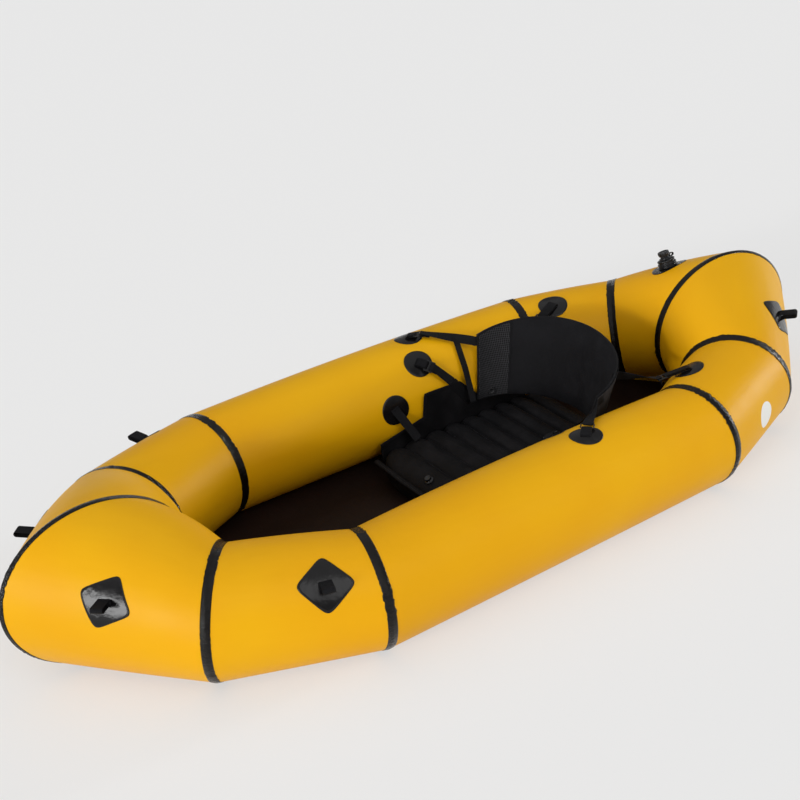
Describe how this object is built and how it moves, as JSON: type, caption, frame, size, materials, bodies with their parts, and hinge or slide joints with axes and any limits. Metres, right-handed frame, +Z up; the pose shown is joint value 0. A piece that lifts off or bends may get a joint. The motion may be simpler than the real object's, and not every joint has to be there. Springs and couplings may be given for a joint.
{
  "type": "packraft",
  "caption": "One-person inflatable packraft: welded tube hull with taped seams, flat floor, ribbed seat, strapped tilting backrest, tie-down loops and an inflation valve.",
  "frame": {"origin": "on the ground under the middle of the hull's length and width", "axes": "+Z up, the bow points to -Y and port is +X"},
  "size_m": [1.0736, 2.3521, 0.3964],
  "materials": {
    "hull_fabric": "satin coated cloth",
    "tape_film": "gloss",
    "floor_fabric": "matt coated cloth",
    "patch_fabric": "gloss coated cloth",
    "buckle_plastic": "moulded",
    "webbing": "woven",
    "seat_fabric": "matt",
    "back_fabric": "matt",
    "mesh_fabric": "open mesh",
    "valve_plastic": "moulded"
  },
  "bodies": {
    "hull": {"bow_panel_port": "hull_fabric", "fore_panel_port": "hull_fabric", "side_panel_port": "hull_fabric", "aft_panel_port": "hull_fabric", "stern_panel_port": "hull_fabric", "bow_fore_tape_port": "tape_film", "fore_side_tape_port": "tape_film", "side_aft_tape_port": "tape_film", "aft_stern_tape_port": "tape_film", "bow_tie_down_port": "patch_fabric", "fore_tie_down_port": "patch_fabric", "stern_tie_down_port": "patch_fabric", "upper_patch_port": "patch_fabric", "lower_patch_port": "patch_fabric", "lower_lock_port": "buckle_plastic", "lower_strap_port": "webbing", "rear_patch_port": "patch_fabric", "rear_lock_port": "buckle_plastic", "front_patch_port": "patch_fabric", "seat_side_panel_port": "seat_fabric", "bow_panel_starboard": "hull_fabric", "fore_panel_starboard": "hull_fabric", "side_panel_starboard": "hull_fabric", "aft_panel_starboard": "hull_fabric", "stern_panel_starboard": "hull_fabric", "bow_fore_tape_starboard": "tape_film", "fore_side_tape_starboard": "tape_film", "side_aft_tape_starboard": "tape_film", "aft_stern_tape_starboard": "tape_film", "bow_tie_down_starboard": "patch_fabric", "fore_tie_down_starboard": "patch_fabric", "stern_tie_down_starboard": "patch_fabric", "upper_patch_starboard": "patch_fabric", "lower_patch_starboard": "patch_fabric", "lower_lock_starboard": "buckle_plastic", "lower_strap_starboard": "webbing", "rear_patch_starboard": "patch_fabric", "rear_lock_starboard": "buckle_plastic", "front_patch_starboard": "patch_fabric", "seat_side_panel_starboard": "seat_fabric", "bow_tape": "tape_film", "stern_tape": "tape_film", "floor_panel": "floor_fabric", "seat_cushion": "seat_fabric", "valve_flange": "valve_plastic", "seat_valve": "valve_plastic"},
    "backrest": {"backrest_pad": "back_fabric", "backrest_wing_port": "mesh_fabric", "backrest_wing_starboard": "mesh_fabric", "upper_strap_port": "webbing", "upper_strap_starboard": "webbing", "rear_strap_port": "webbing", "rear_strap_starboard": "webbing"},
    "upper_ring_port": {"upper_ring_port": "buckle_plastic"},
    "upper_ring_starboard": {"upper_ring_starboard": "buckle_plastic"},
    "valve_insert": {"valve_insert": "valve_plastic", "valve_tether": "valve_plastic"},
    "valve_cap": {"valve_cap": "valve_plastic"},
    "seat_valve_cap": {"seat_valve_cap": "valve_plastic"},
    "backrest_valve": {"backrest_valve": "valve_plastic"}
  },
  "joints": [
    {"name": "backrest_tilt", "type": "hinge", "parent": "hull", "child": "backrest", "pos_m": [0, 0.279, 0.118], "axis": [1, 0, 0], "range_deg": [-6, 16], "deforming": ["upper_strap_port", "upper_strap_starboard", "rear_strap_port", "rear_strap_starboard"]},
    {"name": "upper_ring_port_swing", "type": "hinge", "parent": "hull", "child": "upper_ring_port", "pos_m": [0.37564, 0.20156, 0.28972], "axis": [-0.7207, -0.6899, 0.0679], "range_deg": [-15, 15], "deforming": ["upper_strap_port"]},
    {"name": "upper_ring_starboard_swing", "type": "hinge", "parent": "hull", "child": "upper_ring_starboard", "pos_m": [-0.37564, 0.20156, 0.28972], "axis": [-0.7207, 0.6899, -0.0679], "range_deg": [-15, 15], "deforming": ["upper_strap_starboard"]},
    {"name": "valve_insert_turn", "type": "hinge", "parent": "hull", "child": "valve_insert", "pos_m": [-0.11195, 0.86988, 0.34214], "axis": [-0.2978, -0.1063, 0.9487], "range_deg": [0, 90]},
    {"name": "valve_cap_turn", "type": "hinge", "parent": "valve_insert", "child": "valve_cap", "pos_m": [-0.11195, 0.86988, 0.34214], "axis": [-0.2978, -0.1063, 0.9487], "range_deg": [0, 300]},
    {"name": "seat_valve_pull", "type": "slide", "parent": "hull", "child": "seat_valve_cap", "axis": [0.0161, -0.414, 0.9101], "range_m": [0, 0.006]},
    {"name": "backrest_valve_pull", "type": "slide", "parent": "backrest", "child": "backrest_valve", "axis": [0.905, -0.3157, 0.2851], "range_m": [0, 0.004]}
  ]
}
